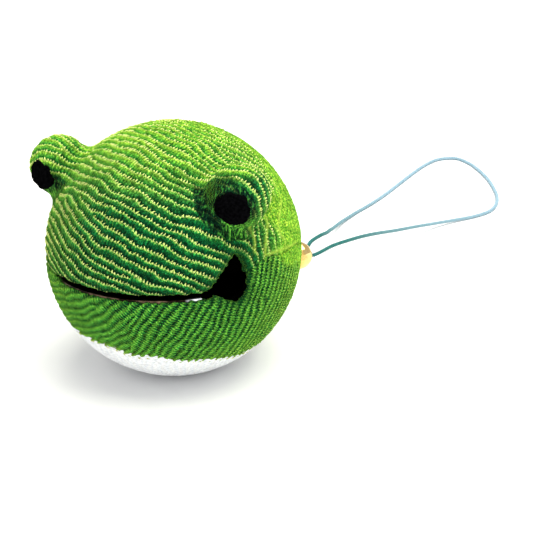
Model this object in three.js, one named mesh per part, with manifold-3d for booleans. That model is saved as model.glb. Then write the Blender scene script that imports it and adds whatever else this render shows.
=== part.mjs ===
// Frog-head charm: a round slotted bell with a loose pellet, wrapped in crinkled
// cloth, with two eye bumps, on a thin strap loop with a brass bead.
// Millimetres, +Z up. The frog looks along -Y, its left side is +X, and the
// origin is the middle of the small flat that it stands on.

import * as THREE from "three";
import { mergeVertices } from "three/addons/utils/BufferGeometryUtils.js";
import Module from "manifold-3d";

const wasm = await Module();
wasm.setup();

// Driving dimensions
const BALL_R = 16; // outside of the cloth
const CLOTH = 0.9; // cloth with its glue
const GAP = 0.3; // clearance between pieces that touch
const BELL_WALL = 0.5;
const FOOT_R = 3.6; // the flat that the charm stands on
const SLOT = 0.8; // height of the mouth slot
const PELLET_R = 3;
const EYE_R = 3.73; // outside of an eye bump
const EYE_DISTANCE = 17.5; // ball centre to bump centre
const EYE_AZIMUTH = 69; // degrees from straight ahead
const EYE_ELEVATION = 37.5;
const NECK_R = 1.6; // hollow between bump and ball
const EYE_CORE_R = 2.9;
const PUPIL_THICK = 0.4;
const PUPIL_HALF_ANGLE = { right: 30, left: 37 };
const PUPIL_ELEVATION = -6;
const PUPIL_AZIMUTH = { right: -5, left: 17 }; // each is cut and glued on by hand
const CORNER_AZIMUTH = 59; // mouth corner, from straight ahead
const BELLY_PLANE = 9.8; // ball centre to the belly's edge plane
const HANGER_AZIMUTH = 18; // from straight back, towards the frog's left
const HANGER_ELEVATION = -23;
const HANGER_WIRE_R = 0.35;
const HANGER_REACH = 17.85; // ball centre to the middle of the hanger's bar
const HANGER_LEG = 1; // legs each side of the middle
const HANGER_FOOT = 2.5; // ends each side of the middle
const HANGER_BEND = 0.6;
const RING_R = 1.6; // to the middle of the wire
const RING_WIRE_R = 0.3;
const BEAD_R = 1.9;
const BEAD_HOLE_R = 1;
const CORD_R = 0.28;

// Sizes that follow
const BALL_Z = Math.sqrt(BALL_R ** 2 - FOOT_R ** 2);
const CLOTH_IN = BALL_R - CLOTH;
const BELL_R = CLOTH_IN - GAP;
const BELL_IN = BELL_R - BELL_WALL;
const COLLAR_R = BELL_IN - GAP;
const COLLAR_IN = COLLAR_R - BELL_WALL;
const COLLAR_REACH = 1.2;
const FAR = 30; // past every piece
const ROUND = 32; // sides of the large round pieces
const SMALL_ROUND = 16;

const brass = { color: 0xc9983a, roughness: 0.3, metalness: 1 };
const steel = { color: 0x9a9a9a, roughness: 0.35, metalness: 1 };
const wood = { color: 0xc8a878, roughness: 0.7, metalness: 0 };
const greenCrepe = { color: 0x4a9a22, roughness: 0.95, metalness: 0 };
const whiteCrepe = { color: 0xe8e8e8, roughness: 0.95, metalness: 0 };
const blackFelt = { color: 0x080808, roughness: 1, metalness: 0 };
const tealCord = { color: 0x2a7f82, roughness: 0.7, metalness: 0 };

const radians = THREE.MathUtils.degToRad;

// A unit vector at an azimuth from straight ahead (-Y) towards +X, and an elevation.
function heading(azimuth, elevation) {
  const flat = Math.cos(radians(elevation));
  const x = Math.sin(radians(azimuth)) * flat;
  const y = -Math.cos(radians(azimuth)) * flat;
  return new THREE.Vector3(x, y, Math.sin(radians(elevation)));
}

// Axes whose Z points along a heading, whose X is level and whose Y leans up.
function frameAlong(direction, origin = new THREE.Vector3()) {
  const side = new THREE.Vector3(0, 0, 1).cross(direction).normalize();
  const up = new THREE.Vector3().crossVectors(direction, side);
  return new THREE.Matrix4().makeBasis(side, up, direction).setPosition(origin);
}

function solid(geometry) {
  geometry.deleteAttribute("normal");
  geometry.deleteAttribute("uv");
  const merged = mergeVertices(geometry, 1e-5);
  const mesh = new wasm.Mesh({
    numProp: 3,
    vertProperties: new Float32Array(merged.attributes.position.array),
    triVerts: new Uint32Array(merged.index.array),
  });
  return new wasm.Manifold(mesh);
}

function geometryOf(manifold) {
  const mesh = manifold.getMesh();
  const geometry = new THREE.BufferGeometry();
  geometry.setAttribute("position", new THREE.BufferAttribute(mesh.vertProperties, 3));
  geometry.setIndex(new THREE.BufferAttribute(mesh.triVerts, 1));
  geometry.computeVertexNormals();
  return geometry;
}

function sphere(radius, centre = new THREE.Vector3(), sides = ROUND) {
  const geometry = new THREE.SphereGeometry(radius, sides, sides / 2);
  geometry.rotateX(Math.PI / 2);
  return solid(geometry.translate(centre.x, centre.y, centre.z));
}

function box(low, high) {
  const size = high.clone().sub(low);
  const middle = low.clone().add(high).multiplyScalar(0.5);
  const geometry = new THREE.BoxGeometry(size.x, size.y, size.z);
  return solid(geometry.translate(middle.x, middle.y, middle.z));
}

// A profile of [radius, height] pairs turned about the frame's Z.
function turned(profile, frame, sides) {
  const points = profile.map(([radius, height]) => new THREE.Vector2(radius, height));
  const geometry = new THREE.LatheGeometry(points, sides);
  geometry.rotateX(Math.PI / 2);
  return solid(geometry.applyMatrix4(frame));
}

// Points of an arc about (radius, height), as [radius, height] pairs.
function arc(radius, height, r, from, to, steps) {
  return Array.from({ length: steps + 1 }, (_, i) => {
    const angle = from + ((to - from) * i) / steps;
    return [radius + r * Math.cos(angle), height + r * Math.sin(angle)];
  });
}

// An outline in the frame's XY plane, run along its Z.
function extruded(shape, from, to, frame) {
  const geometry = new THREE.ExtrudeGeometry(shape, { depth: to - from, bevelEnabled: false });
  return solid(geometry.translate(0, 0, from).applyMatrix4(frame));
}

// A round wire or cord along a list of points.
function tube(points, radius, steps) {
  const section = arc(0, 0, radius, 0, 2 * Math.PI, 8).slice(0, 8);
  const shape = new THREE.Shape(section.map(([x, y]) => new THREE.Vector2(x, y)));
  const path = new THREE.CatmullRomCurve3(points, false, "centripetal");
  return solid(new THREE.ExtrudeGeometry(shape, { steps, bevelEnabled: false, extrudePath: path }));
}

const frog = new THREE.Group();

// A piece whose solid is built about the middle of the ball.
function addPiece(name, manifold, finish) {
  const mesh = new THREE.Mesh(geometryOf(manifold), new THREE.MeshStandardMaterial(finish));
  mesh.name = name;
  mesh.position.z = BALL_Z;
  frog.add(mesh);
}

// Bell: two half shells, split across the middle, the rear one with an inner collar.
const alongY = frameAlong(new THREE.Vector3(0, 1, 0));

function halfShellProfile(edge) {
  const outer = arc(0, 0, BELL_R, Math.asin(edge / BELL_R), Math.PI / 2, ROUND / 4);
  const inner = arc(0, 0, BELL_IN, Math.PI / 2, Math.asin(edge / BELL_IN), ROUND / 4);
  outer[outer.length - 1][0] = 0;
  inner[0][0] = 0;
  return { outer, inner };
}

function cornerHeading(side) {
  return heading(side * CORNER_AZIMUTH, 0);
}

// Mouth-corner hole of the bell, round and set a little above the slot.
function bellHole(side) {
  const rise = 1.25;
  const radius = 3.1;
  const frame = frameAlong(cornerHeading(side));
  const outline = arc(0, rise, radius, 0, 2 * Math.PI, SMALL_ROUND).slice(0, SMALL_ROUND);
  const shape = new THREE.Shape(outline.map(([x, y]) => new THREE.Vector2(x, y)));
  return extruded(shape, BELL_R / 2, FAR, frame);
}

// A flat sector of a disc, centred on the frog's front, between two heights.
function frontSector(halfAngle, inner, outer, low, high) {
  const from = radians(-90 - halfAngle);
  const to = radians(-90 + halfAngle);
  const rim = arc(0, 0, outer, from, to, SMALL_ROUND);
  const back = inner > 0 ? arc(0, 0, inner, to, from, SMALL_ROUND) : [[0, 0]];
  const shape = new THREE.Shape([...rim, ...back].map(([x, y]) => new THREE.Vector2(x, y)));
  return extruded(shape, low, high, new THREE.Matrix4());
}

const LIP_THICK = 0.35;
const LIP_HALF_ANGLE = 45;
const LIP_R = BALL_R - GAP;

function bellFrontShell() {
  const backwards = frameAlong(new THREE.Vector3(0, -1, 0));
  const { outer, inner } = halfShellProfile(GAP / 2);
  let shell = turned([...outer, ...inner, outer[0]], backwards, ROUND);
  for (const side of [-1, 1]) {
    const low = side > 0 ? SLOT / 2 : -SLOT / 2 - LIP_THICK;
    const rootR = BELL_R - BELL_WALL / 2;
    shell = shell.add(frontSector(LIP_HALF_ANGLE, rootR, LIP_R, low, low + LIP_THICK));
  }
  shell = shell.subtract(frontSector(CORNER_AZIMUTH, 0, FAR, -SLOT / 2, SLOT / 2));
  return shell.subtract(bellHole(-1)).subtract(bellHole(1));
}

const hangerFrame = frameAlong(heading(180 - HANGER_AZIMUTH, HANGER_ELEVATION));

// The two round holes that the hanger's legs pass through.
function hangerHoles() {
  const radius = HANGER_WIRE_R + GAP;
  const holes = [-1, 1].map((side) => {
    const ring = arc(side * HANGER_LEG, 0, radius, 0, 2 * Math.PI, 8).slice(0, 8);
    const shape = new THREE.Shape(ring.map(([x, y]) => new THREE.Vector2(x, y)));
    return extruded(shape, BELL_R / 2, FAR, hangerFrame);
  });
  return holes[0].add(holes[1]);
}

function bellRearShell() {
  const { outer, inner } = halfShellProfile(GAP / 2);
  const wallEnd = Math.sqrt(BELL_IN ** 2 - COLLAR_REACH ** 2);
  const collar = [
    [wallEnd, COLLAR_REACH],
    [COLLAR_IN, COLLAR_REACH],
    [COLLAR_IN, -COLLAR_REACH],
    [COLLAR_R, -COLLAR_REACH],
    [COLLAR_R, GAP / 2],
  ];
  const wall = inner.filter(([, height]) => height > COLLAR_REACH);
  const shell = turned([...outer, ...wall, ...collar, outer[0]], alongY, ROUND);
  return shell.subtract(hangerHoles());
}

// Hanger: a wire staple through the rear shell, its ends turned out inside.
function hangerEye() {
  const inside = Math.sqrt((BELL_IN - GAP - HANGER_WIRE_R) ** 2 - HANGER_FOOT ** 2);
  const arch = HANGER_REACH - HANGER_LEG;
  const path = new THREE.Path();
  path.moveTo(-HANGER_FOOT, inside);
  path.lineTo(-HANGER_LEG - HANGER_BEND, inside);
  path.quadraticCurveTo(-HANGER_LEG, inside, -HANGER_LEG, inside + HANGER_BEND);
  path.lineTo(-HANGER_LEG, arch);
  path.absarc(0, arch, HANGER_LEG, Math.PI, 0, true);
  path.lineTo(HANGER_LEG, inside + HANGER_BEND);
  path.quadraticCurveTo(HANGER_LEG, inside, HANGER_LEG + HANGER_BEND, inside);
  path.lineTo(HANGER_FOOT, inside);
  const points = path.getSpacedPoints(44).map((p) => new THREE.Vector3(p.x, 0, p.y));
  return tube(points, HANGER_WIRE_R, 36).transform(hangerFrame.elements);
}

function pellet() {
  const rest = COLLAR_IN - GAP - PELLET_R;
  return sphere(PELLET_R, new THREE.Vector3(0, 0, -rest), SMALL_ROUND);
}

// Eyes: a core under the cloth, the cloth bump, and a felt pupil that looks ahead.
function eyeHeading(side) {
  return heading(side * EYE_AZIMUTH, EYE_ELEVATION);
}

function eyeCentre(side) {
  return eyeHeading(side).multiplyScalar(EYE_DISTANCE);
}

function eyeCore(side) {
  return sphere(EYE_CORE_R, eyeCentre(side), SMALL_ROUND).subtract(sphere(CLOTH_IN));
}

// The bump grown by an offset, with the hollow neck where it meets the ball.
function eyeBump(side, offset) {
  const ballR = BALL_R + offset;
  const bumpR = EYE_R + offset;
  const neckR = NECK_R - offset;
  const reach = ballR + neckR;
  const neckHeight = (reach ** 2 - (bumpR + neckR) ** 2 + EYE_DISTANCE ** 2) / (2 * EYE_DISTANCE);
  const neckOut = Math.sqrt(reach ** 2 - neckHeight ** 2);
  const toBall = Math.atan2(-neckHeight, -neckOut);
  const toBump = Math.atan2(EYE_DISTANCE - neckHeight, -neckOut) - 2 * Math.PI;
  const bumpFrom = Math.atan2(neckHeight - EYE_DISTANCE, neckOut);
  const neck = arc(neckOut, neckHeight, neckR, toBall, toBump, 4);
  const dome = arc(0, EYE_DISTANCE, bumpR, bumpFrom, Math.PI / 2, 8);
  dome[dome.length - 1][0] = 0;
  const profile = [[0, 0], ...neck, ...dome.slice(1)];
  return turned(profile, frameAlong(eyeHeading(side)), SMALL_ROUND + 8);
}

function clothOutside(offset) {
  return sphere(BALL_R + offset).add(eyeBump(-1, offset)).add(eyeBump(1, offset));
}

function pupil(side, azimuth, halfAngle) {
  const centre = eyeCentre(side);
  const outer = EYE_R + GAP + PUPIL_THICK;
  const look = frameAlong(heading(azimuth, PUPIL_ELEVATION), centre);
  const coneR = FAR * Math.tan(radians(halfAngle));
  const cone = turned([[0, 0], [coneR, FAR], [0, FAR]], look, SMALL_ROUND + 8);
  return sphere(outer, centre, SMALL_ROUND + 8).intersect(cone).subtract(clothOutside(GAP));
}

// Cloth: the head's and the jaw's meet along a seam and part at the mouth.
const seamLine = new THREE.SplineCurve([
  new THREE.Vector2(-FAR, 0),
  new THREE.Vector2(-9, 0),
  new THREE.Vector2(-6, 1.7),
  new THREE.Vector2(-3.4, 2.6),
  new THREE.Vector2(0, 2.1),
  new THREE.Vector2(4.2, 1.4),
  new THREE.Vector2(10, 0.2),
  new THREE.Vector2(FAR, -3),
]);

// Everything above the seam, seen from the side and run across the whole width.
function aboveSeam(offset) {
  const shifted = seamLine.getPoints(28).map((p) => new THREE.Vector2(p.x, p.y + offset));
  const shape = new THREE.Shape([
    ...shifted,
    new THREE.Vector2(FAR, FAR),
    new THREE.Vector2(-FAR, FAR),
  ]);
  const sideways = new THREE.Matrix4().makeBasis(
    new THREE.Vector3(0, 1, 0),
    new THREE.Vector3(0, 0, 1),
    new THREE.Vector3(1, 0, 0),
  );
  return extruded(shape, -FAR, FAR, sideways);
}

// Mouth-corner hole in the cloth: a blunt triangle that points along the slot.
function clothHole(side) {
  const shape = new THREE.Shape();
  shape.moveTo(-side * 3.3, 0.3);
  shape.lineTo(side * 0.2, 3.8);
  shape.quadraticCurveTo(side * 1.2, 4.6, side * 1.9, 3.4);
  shape.quadraticCurveTo(side * 2.4, 1.6, side * 2, -0.3);
  shape.quadraticCurveTo(side * 1.4, -1.8, side * 0.4, -1.8);
  return extruded(shape, BELL_R / 2, FAR, frameAlong(cornerHeading(side)));
}

function mouthOpening() {
  const half = SLOT / 2 + LIP_THICK + GAP;
  const slot = frontSector(LIP_HALF_ANGLE + 1, 0, FAR, -half, half);
  return slot.add(clothHole(-1)).add(clothHole(1));
}

// The belly's edge lies in a plane that leans towards the frog's right and front.
function belowBelly(distance) {
  const down = new THREE.Vector3(-Math.tan(radians(8)), -Math.tan(radians(6)), -1).normalize();
  const shape = new THREE.Shape([
    new THREE.Vector2(-FAR, -FAR),
    new THREE.Vector2(FAR, -FAR),
    new THREE.Vector2(FAR, FAR),
    new THREE.Vector2(-FAR, FAR),
  ]);
  return extruded(shape, distance, FAR, frameAlong(down));
}

const coreRoom = EYE_CORE_R + GAP;
const clothInside = sphere(CLOTH_IN)
  .add(sphere(coreRoom, eyeCentre(-1), SMALL_ROUND))
  .add(sphere(coreRoom, eyeCentre(1), SMALL_ROUND));
const cloth = clothOutside(0).subtract(clothInside).subtract(mouthOpening());

function headCover() {
  return cloth.intersect(aboveSeam(GAP / 2));
}

function jawCover() {
  const below = cloth.subtract(aboveSeam(-GAP / 2)).subtract(belowBelly(BELLY_PLANE - GAP));
  return below.subtract(hangerHoles());
}

function bellyPatch() {
  const low = new THREE.Vector3(-FAR, -FAR, -BALL_Z);
  const aboveFloor = box(low, new THREE.Vector3(FAR, FAR, FAR));
  return cloth.intersect(belowBelly(BELLY_PLANE)).intersect(aboveFloor);
}

// Strap: a ring in the hanger, a cord bent round the ring, and a bead on both strands.
const ringCentre = heading(180 - HANGER_AZIMUTH, HANGER_ELEVATION);
ringCentre.multiplyScalar(HANGER_REACH + RING_R - RING_WIRE_R - HANGER_WIRE_R - GAP);
const strapHeading = heading(180 - HANGER_AZIMUTH, 0);
const strapSide = new THREE.Vector3(0, 0, 1).cross(strapHeading);
const hitch = ringCentre.clone().addScaledVector(strapHeading, RING_R);
const beadHalf = Math.sqrt(BEAD_R ** 2 - BEAD_HOLE_R ** 2);
const beadCentre = hitch.clone().addScaledVector(strapHeading, RING_WIRE_R + GAP + BEAD_R);

function jumpRing() {
  const ring = new THREE.TorusGeometry(RING_R, RING_WIRE_R, 8, 24);
  return solid(ring.applyMatrix4(frameAlong(strapSide, ringCentre)));
}

function strapBead() {
  const rim = Math.asin(beadHalf / BEAD_R);
  const outer = arc(0, 0, BEAD_R, -rim, rim, 8);
  const profile = [...outer, [BEAD_HOLE_R, -beadHalf]];
  return turned(profile, frameAlong(strapHeading, beadCentre), SMALL_ROUND);
}

function cordBight() {
  const loopR = 0.66;
  const leg = BEAD_R + RING_WIRE_R - beadHalf;
  const flat = arc(0, 0, loopR, 0, Math.PI, 8);
  const points = [[loopR, -leg], ...flat, [-loopR, -leg]].map(([across, back]) => {
    return hitch.clone().addScaledVector(strapSide, across).addScaledVector(strapHeading, -back);
  });
  return tube(points, CORD_R, 18);
}

// Middle line of the strap's loop, from the ground up: out of the bead, down to
// the surface, round, and back into the bead.
const CORD_ROUTE = [
  [6.6, 22.3, 8.8],
  [5.8, 25, 8.5],
  [4.5, 30, 7.4],
  [2.6, 35.5, 5.6],
  [0, 41.5, 3.5],
  [-2.4, 47, 1.5],
  [-3.6, 52, 0.6],
  [-3.8, 57, 0.3],
  [-3.4, 62, 0.3],
  [-3.3, 67, 0.3],
  [-3.5, 73, 0.3],
  [-3.7, 79, 0.3],
  [-3.6, 84, 0.3],
  [-2.7, 87.6, 0.3],
  [-0.3, 89.2, 0.3],
  [2.6, 87.9, 0.3],
  [5.6, 85.2, 0.3],
  [8.6, 81.8, 0.3],
  [11.4, 77.8, 0.3],
  [13.7, 73.8, 0.3],
  [15, 70, 0.3],
  [15.1, 67, 0.3],
  [13.9, 64, 0.3],
  [11.9, 60.9, 0.4],
  [10.2, 57.3, 0.8],
  [9, 52.5, 1.7],
  [8.3, 47, 2.9],
  [8.1, 41, 4.5],
  [8.4, 35.5, 6],
  [8.5, 31, 7],
  [8.3, 26.7, 7.7],
  [7.8, 22.1, 7.9],
];

function cordLoop() {
  const points = CORD_ROUTE.map(([x, y, z]) => new THREE.Vector3(x, y, z - BALL_Z));
  return tube(points, CORD_R, 80);
}

addPiece("bell_front_shell", bellFrontShell(), brass);
addPiece("bell_rear_shell", bellRearShell(), brass);
addPiece("rattle_pellet", pellet(), steel);
addPiece("hanger_eye", hangerEye(), brass);
for (const [side, name] of [[-1, "right"], [1, "left"]]) {
  addPiece(`eye_core_${name}`, eyeCore(side), wood);
  const felt = pupil(side, PUPIL_AZIMUTH[name], PUPIL_HALF_ANGLE[name]);
  addPiece(`pupil_${name}`, felt, blackFelt);
}
addPiece("head_cover", headCover(), greenCrepe);
addPiece("jaw_cover", jawCover(), greenCrepe);
addPiece("belly_patch", bellyPatch(), whiteCrepe);
addPiece("jump_ring", jumpRing(), brass);
addPiece("strap_bead", strapBead(), brass);
addPiece("cord_bight", cordBight(), tealCord);
addPiece("cord_loop", cordLoop(), tealCord);

export default frog;
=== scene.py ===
"""Frog-head bell charm: crinkled crepe over a slotted bell, felt pupils, a brass bead and a cord loop.

Working units are millimetres about the middle of the ball; meshes are made in metres in the frame.
"""

import bpy
import numpy as np
from mathutils import Matrix, Vector


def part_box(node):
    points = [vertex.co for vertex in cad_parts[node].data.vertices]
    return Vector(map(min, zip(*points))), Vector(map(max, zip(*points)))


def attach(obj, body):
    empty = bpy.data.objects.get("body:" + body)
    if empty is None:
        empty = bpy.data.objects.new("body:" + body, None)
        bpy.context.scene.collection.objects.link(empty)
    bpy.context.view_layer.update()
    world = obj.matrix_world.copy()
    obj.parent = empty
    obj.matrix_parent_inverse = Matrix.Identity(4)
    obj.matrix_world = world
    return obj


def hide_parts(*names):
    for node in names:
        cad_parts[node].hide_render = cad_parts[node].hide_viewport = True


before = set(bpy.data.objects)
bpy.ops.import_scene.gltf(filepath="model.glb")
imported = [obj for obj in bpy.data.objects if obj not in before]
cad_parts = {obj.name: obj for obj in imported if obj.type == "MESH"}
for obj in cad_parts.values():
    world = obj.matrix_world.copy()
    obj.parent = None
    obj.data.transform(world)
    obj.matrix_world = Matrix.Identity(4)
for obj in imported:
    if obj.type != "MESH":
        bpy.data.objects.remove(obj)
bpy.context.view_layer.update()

MM = 0.001
BALL_LOW, BALL_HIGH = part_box("bell_rear_shell")
BALL_Z = (BALL_LOW.z + BALL_HIGH.z) / 2 / MM
BALL = np.array([0.0, 0.0, BALL_Z])

BALL_R = 16.0
EYE_R = 3.73
EYE_DISTANCE = 17.5
EYE_AZIMUTH = 69
EYE_ELEVATION = 37.5
NECK_R = 1.6
PUPIL_HALF_ANGLE = {"right": 29, "left": 34.5}
PUPIL_ELEVATION = {"right": -7, "left": -10}
PUPIL_AZIMUTH = {"right": -5, "left": 17}
CORNER_AZIMUTH = 59
SLOT_HALF_ANGLE = 50
SLOT_CLOSED = -34  # the cloth meets over the slot from here to the right corner
SLOT_OPEN = -22
BELLY_PLANE = 9.8
CORD_D = 0.56

SPHERE_LEVEL = 7
COARSE_LEVEL = 3


# Camera and cord


CAMERA_PLACE = (0.10109, -0.14713, 0.08629)
LENS = 102.567
SENSOR = 36


def make_camera():
    """A camera at three quarters front, above, with its axes as rows of right, up and back."""
    right = Vector((0.86541315, 0.50017384, -0.02976933))
    up = Vector((-0.16791808, 0.34548763, 0.92327776))
    back = Vector((0.47208432, -0.7940179, 0.38297776))
    data = bpy.data.cameras.new("camera")
    data.lens = LENS
    data.sensor_width = SENSOR
    data.clip_start = 0.005
    data.clip_end = 10
    camera = bpy.data.objects.new("camera", data)
    axes = Matrix((right, up, back)).transposed().to_4x4()
    camera.matrix_world = Matrix.Translation(CAMERA_PLACE) @ axes
    bpy.context.scene.collection.objects.link(camera)
    bpy.context.scene.camera = camera


# The loop's middle line, in millimetres in the frame: out of the bead, along the surface and back.
CORD_ROUTE = [
    (6.6, 22.3, 8.8), (5.8, 25, 8.5), (4.5, 30, 7.4), (2.6, 35.5, 5.6),
    (0, 41.5, 3.5), (-2.4, 47, 1.5), (-3.6, 52, 0.6), (-3.8, 57, 0.3),
    (-3.4, 62, 0.3), (-3.3, 67, 0.3), (-3.5, 73, 0.3), (-3.7, 79, 0.3),
    (-3.6, 84, 0.3), (-2.7, 87.6, 0.3), (-0.3, 89.2, 0.3), (2.6, 87.9, 0.3),
    (5.6, 85.2, 0.3), (8.6, 81.8, 0.3), (11.4, 77.8, 0.3), (13.7, 73.8, 0.3),
    (15, 70, 0.3), (15.1, 67, 0.3), (13.9, 64, 0.3), (11.9, 60.9, 0.4),
    (10.2, 57.3, 0.8), (9, 52.5, 1.7), (8.3, 47, 2.9), (8.1, 41, 4.5),
    (8.4, 35.5, 6), (8.5, 31, 7), (8.3, 26.7, 7.7), (7.8, 22.1, 7.9),
]
HITCH = np.array([5.757, 17.718, 8.361])
STRAP_ALONG = np.array([0.309017, 0.951057, 0.0])
STRAP_SIDE = np.array([-0.951057, 0.309017, 0.0])
BEAD_MIDDLE = HITCH + 2.5 * STRAP_ALONG
BIGHT_R = 0.62  # the cord's turn round the ring's wire
CORD_STEP = 0.16


def unit(v):
    v = np.asarray(v, float)
    return v / np.maximum(np.linalg.norm(v, axis=-1, keepdims=True), 1e-12)


def distance_along(line):
    return np.concatenate([[0], np.cumsum(np.linalg.norm(np.diff(line, axis=0), axis=1))])


def smooth_line(points, step):
    """A centripetal Catmull-Rom curve through the points, resampled evenly."""
    p = np.asarray(points, float)
    p = np.vstack([2 * p[0] - p[1], p, 2 * p[-1] - p[-2]])
    out = []
    for i in range(1, len(p) - 2):
        p0, p1, p2, p3 = p[i - 1 : i + 3]
        t0 = 0.0
        t1 = t0 + np.linalg.norm(p1 - p0) ** 0.5
        t2 = t1 + np.linalg.norm(p2 - p1) ** 0.5
        t3 = t2 + np.linalg.norm(p3 - p2) ** 0.5
        t = np.linspace(t1, t2, 24, endpoint=False)[:, None]
        a1 = (t1 - t) / (t1 - t0) * p0 + (t - t0) / (t1 - t0) * p1
        a2 = (t2 - t) / (t2 - t1) * p1 + (t - t1) / (t2 - t1) * p2
        a3 = (t3 - t) / (t3 - t2) * p2 + (t - t2) / (t3 - t2) * p3
        b1 = (t2 - t) / (t2 - t0) * a1 + (t - t0) / (t2 - t0) * a2
        b2 = (t3 - t) / (t3 - t1) * a2 + (t - t1) / (t3 - t1) * a3
        out.append((t2 - t) / (t2 - t1) * b1 + (t - t1) / (t2 - t1) * b2)
    line = np.vstack(out + [p[-2:-1]])
    along = distance_along(line)
    at = np.linspace(0, along[-1], int(along[-1] / step) + 2)
    return np.stack([np.interp(at, along, line[:, k]) for k in range(3)], axis=1)


def carried_frames(line):
    """Tangent, side and top vectors along a line, carried along it without twisting."""
    tangent = unit(np.gradient(line, axis=0))
    side = np.zeros_like(line)
    side[0] = unit(np.cross(tangent[0], (0, 0, 1)))
    for i in range(1, len(line)):
        s = side[i - 1] - (side[i - 1] @ tangent[i]) * tangent[i]
        side[i] = s / np.linalg.norm(s)
    return tangent, side, np.cross(tangent, side)


def new_mesh(name, points, faces):
    """An object from points in millimetres in the frame."""
    mesh = bpy.data.meshes.new(name)
    faces = np.asarray(faces, np.int32)
    sides = faces.shape[1]
    mesh.vertices.add(len(points))
    mesh.vertices.foreach_set("co", (np.asarray(points) * MM).astype(np.float32).ravel())
    mesh.loops.add(faces.size)
    mesh.loops.foreach_set("vertex_index", faces.ravel())
    mesh.polygons.add(len(faces))
    starts = np.arange(0, faces.size, sides, dtype=np.int32)
    mesh.polygons.foreach_set("loop_start", starts)
    mesh.update(calc_edges=True)
    mesh.validate()
    mesh.polygons.foreach_set("use_smooth", np.full(len(mesh.polygons), True))
    made = bpy.data.objects.new(name, mesh)
    bpy.context.scene.collection.objects.link(made)
    return made


def ring_faces(rings, sides):
    """Quads between consecutive rings of a tube."""
    i, j = np.meshgrid(np.arange(rings - 1), np.arange(sides), indexing="ij")
    k = (j + 1) % sides
    a, b = i * sides + j, i * sides + k
    return np.stack([a, b, b + sides, a + sides], axis=-1).reshape(-1, 4)


def twisted_cord(name, line, diameter, pitch=1.3, strands=3, sides=7):
    """A cord of several strands laid round its middle line."""
    tangent, side, top = carried_frames(line)
    step = np.linalg.norm(line[1] - line[0])
    turn = np.arange(len(line)) * step / pitch * 2 * np.pi
    radius = diameter * 0.27
    lay = diameter / 2 - radius
    points, faces = [], []
    for s in range(strands):
        angle = turn + 2 * np.pi * s / strands
        middle = line + lay * (np.cos(angle)[:, None] * side + np.sin(angle)[:, None] * top)
        around = np.arange(sides) * 2 * np.pi / sides
        shell = middle[:, None] + radius * (
            np.cos(around)[None, :, None] * side[:, None]
            + np.sin(around)[None, :, None] * top[:, None]
        )
        base = len(points) * len(line) * sides
        points.append(shell.reshape(-1, 3))
        faces.append(ring_faces(len(line), sides) + base)
    return new_mesh(name, np.vstack(points), np.vstack(faces))


def strap_line():
    """The whole cord: from inside the bead out and round the loop, back through it, and round the ring."""
    start = BEAD_MIDDLE + 0.5 * STRAP_SIDE + np.array([0, 0, 0.15])
    back = BEAD_MIDDLE - 0.5 * STRAP_SIDE - np.array([0, 0, 0.1])
    loop = [tuple(start)] + CORD_ROUTE + [tuple(back)]
    bend = []
    for angle in np.linspace(0, np.pi, 7):
        across = -np.cos(angle) * BIGHT_R
        ahead = -np.sin(angle) * BIGHT_R
        bend.append(tuple(HITCH + across * STRAP_SIDE + ahead * STRAP_ALONG))
    end = BEAD_MIDDLE + 0.45 * STRAP_SIDE - np.array([0, 0, 0.3]) - 0.9 * STRAP_ALONG
    return smooth_line(loop + bend + [tuple(end)], CORD_STEP)


make_camera()
line = strap_line()
strap_cord = twisted_cord("strap_cord", line, CORD_D)
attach(strap_cord, "strap")
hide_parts("cord_loop", "cord_bight")


# Surface of the cloth: a ball with two bumps, addressed by unit directions


def heading(azimuth, elevation):
    """A unit vector at an azimuth from straight ahead (-Y) towards +X, and an elevation, in degrees."""
    a, e = np.radians(azimuth), np.radians(elevation)
    return np.stack([np.sin(a) * np.cos(e), -np.cos(a) * np.cos(e), np.sin(e) + 0 * a], axis=-1)


EYE = {"right": heading(-EYE_AZIMUTH, EYE_ELEVATION), "left": heading(EYE_AZIMUTH, EYE_ELEVATION)}
EYE_REACH = np.radians(30)  # directions this near an eye's axis are spread over its bump


def bump_profile():
    """(radius, height) along a bump from its tip to the plain ball, and where each point falls."""
    reach = BALL_R + NECK_R
    neck_h = (reach**2 - (EYE_R + NECK_R) ** 2 + EYE_DISTANCE**2) / (2 * EYE_DISTANCE)
    neck_r = np.sqrt(reach**2 - neck_h**2)
    meet = np.arctan2(neck_r, neck_h - EYE_DISTANCE)
    dome = np.linspace(0, meet, 60)
    points = [np.stack([EYE_R * np.sin(dome), EYE_DISTANCE + EYE_R * np.cos(dome)], 1)]
    start = np.arctan2(EYE_DISTANCE - neck_h, -neck_r)
    stop = np.arctan2(-neck_h, -neck_r) + 2 * np.pi
    neck = np.linspace(start, stop, 30)[1:]
    points.append(np.stack([neck_r + NECK_R * np.cos(neck), neck_h + NECK_R * np.sin(neck)], 1))
    ball = np.linspace(np.arctan2(neck_r, neck_h), EYE_REACH, 40)[1:]
    points.append(np.stack([BALL_R * np.sin(ball), BALL_R * np.cos(ball)], 1))
    profile = np.vstack(points)
    along = distance_along(profile)
    return profile, along / along[-1]


BUMP, BUMP_AT = bump_profile()


def surface(directions):
    """Points of the smooth cloth surface for unit directions."""
    points = directions * BALL_R
    for axis in EYE.values():
        lean = np.arccos(np.clip(directions @ axis, -1, 1))
        near = lean < EYE_REACH
        q, angle = directions[near], lean[near]
        out = unit(q - np.cos(angle)[:, None] * axis)
        share = angle / EYE_REACH
        r = np.interp(share, BUMP_AT, BUMP[:, 0])
        h = np.interp(share, BUMP_AT, BUMP[:, 1])
        points[near] = r[:, None] * out + h[:, None] * axis
    return points


def slope_of(values, directions, move, size=1e-3):
    """How fast a function of the direction changes along a move."""
    ahead = values(unit(directions + size * move))
    behind = values(unit(directions - size * move))
    return (ahead - behind) / (2 * size)


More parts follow.
